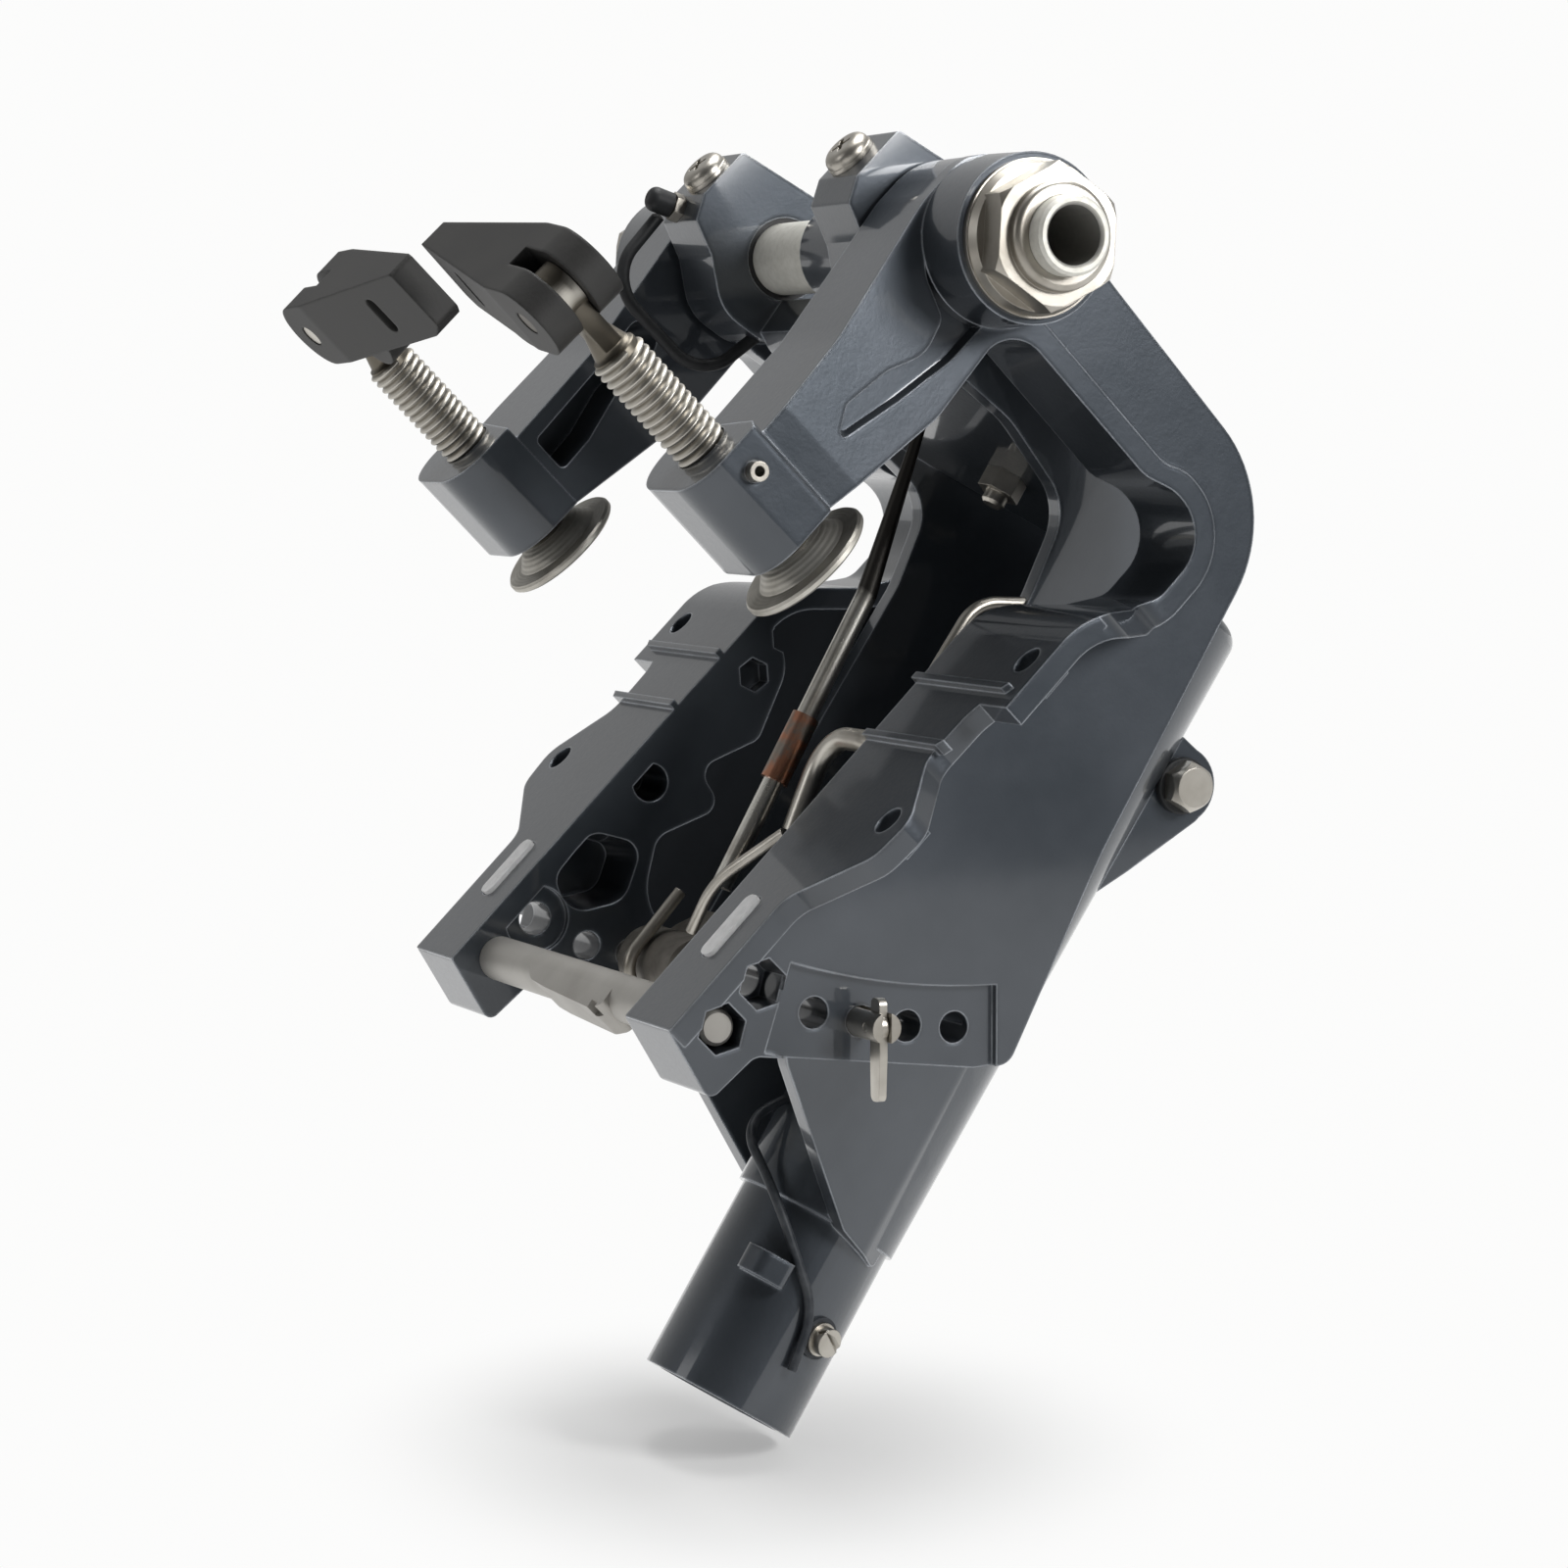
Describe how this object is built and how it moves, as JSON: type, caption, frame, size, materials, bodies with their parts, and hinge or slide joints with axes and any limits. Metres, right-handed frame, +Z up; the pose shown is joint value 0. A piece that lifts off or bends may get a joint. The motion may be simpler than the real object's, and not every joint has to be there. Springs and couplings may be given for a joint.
{
  "type": "outboard swivel bracket",
  "caption": "Stern bracket for an outboard motor: clamp brackets with folding screw handles, a tilting swivel casting with a steering tube, and a trim rod.",
  "frame": {"origin": "centre of the tilt tube, on its axis and on the middle plane of the bracket", "axes": "+X to port along the tilt tube, +Y aft, away from the boat, +Z up with the transom face upright"},
  "size_m": [0.2816, 0.3383, 0.3036],
  "materials": {
    "casting": "satin dark grey-blue enamel on cast aluminium",
    "stainless": "satin",
    "dull_steel": "matt",
    "tube": "matt",
    "strip": "matt",
    "black_plastic": "moulded texture",
    "bush": "moulded",
    "rubber": "matt",
    "copper": "dull",
    "lead": "insulated lead"
  },
  "bodies": {
    "clamp_brackets": {"port_clamp_bracket": "casting", "port_tilt_nut": "stainless", "port_tilt_washer": "stainless", "port_wear_strip": "strip", "port_stop_peg": "stainless", "starboard_clamp_bracket": "casting", "starboard_tilt_nut": "stainless", "starboard_tilt_washer": "stainless", "starboard_wear_strip": "strip", "starboard_stop_peg": "stainless", "tilt_tube": "tube", "tie_rod": "dull_steel", "tie_rod_saddle": "dull_steel", "trim_rod": "stainless", "toggle_pin": "stainless"},
    "swivel": {"swivel_bracket": "casting", "port_tilt_bush": "bush", "port_hub_screw": "stainless", "starboard_tilt_bush": "bush", "starboard_hub_screw": "stainless", "lower_steering_bush": "bush", "upper_steering_bush": "bush", "grease_nipple": "stainless", "nipple_cap": "rubber", "nipple_hose": "rubber", "ear_bolt": "stainless", "ear_ring": "rubber", "ear_nut": "stainless", "stay_nut": "stainless", "lock_strut": "stainless", "strut_sleeve": "copper", "release_shaft": "stainless", "return_spring": "stainless", "release_wire": "stainless", "earth_lead": "lead", "terminal_screw": "stainless"},
    "lock": {"lock_claw": "dull_steel", "hook_wire": "stainless"},
    "toggle": {"trim_toggle": "stainless"},
    "port_pad": {"port_clamp_pad": "stainless"},
    "port_screw": {"port_clamp_screw": "stainless"},
    "port_lever": {"port_lever": "black_plastic", "port_lever_pin": "stainless"},
    "starboard_pad": {"starboard_clamp_pad": "stainless"},
    "starboard_screw": {"starboard_clamp_screw": "stainless"},
    "starboard_lever": {"starboard_lever": "black_plastic", "starboard_lever_pin": "stainless"}
  },
  "joints": [
    {"name": "tilt", "type": "hinge", "parent": "clamp_brackets", "child": "swivel", "pos_m": [0, 0, 0], "axis": [1, 0, 0], "range_deg": [0, 65]},
    {"name": "lock_claw_swing", "type": "hinge", "parent": "clamp_brackets", "child": "lock", "pos_m": [0, 0.12499, -0.18275], "axis": [1, 0, 0], "range_deg": [0, 60]},
    {"name": "toggle_turn", "type": "hinge", "parent": "clamp_brackets", "child": "toggle", "pos_m": [0.1064, 0.12499, -0.18275], "axis": [0, -0.7071, -0.7071], "range_deg": [0, 90]},
    {"name": "port_pad_travel", "type": "slide", "parent": "clamp_brackets", "child": "port_pad", "axis": [0, 1, 0], "range_m": [-0.004, 0.03]},
    {"name": "port_screw_turn", "type": "hinge", "parent": "port_pad", "child": "port_screw", "pos_m": [0.0884, 0, -0.1022], "axis": [0, 1, 0], "range_deg": [-576, 4320]},
    {"name": "port_lever_fold", "type": "hinge", "parent": "port_screw", "child": "port_lever", "pos_m": [0.0884, -0.08, -0.1022], "axis": [0.0985, 0, 0.9951], "range_deg": [-5, 170]},
    {"name": "starboard_pad_travel", "type": "slide", "parent": "clamp_brackets", "child": "starboard_pad", "axis": [0, 1, 0], "range_m": [-0.004, 0.03]},
    {"name": "starboard_screw_turn", "type": "hinge", "parent": "starboard_pad", "child": "starboard_screw", "pos_m": [-0.0884, 0, -0.1022], "axis": [0, 1, 0], "range_deg": [-576, 4320]},
    {"name": "starboard_lever_fold", "type": "hinge", "parent": "starboard_screw", "child": "starboard_lever", "pos_m": [-0.0884, -0.08, -0.1022], "axis": [0.0147, 0, -0.9999], "range_deg": [-1.3, 173.7]}
  ],
  "couplings": [
    {"joint": "port_pad_travel", "follows": "port_screw_turn", "m_per_rad": 0.0003978},
    {"joint": "starboard_pad_travel", "follows": "starboard_screw_turn", "m_per_rad": 0.0003978}
  ]
}
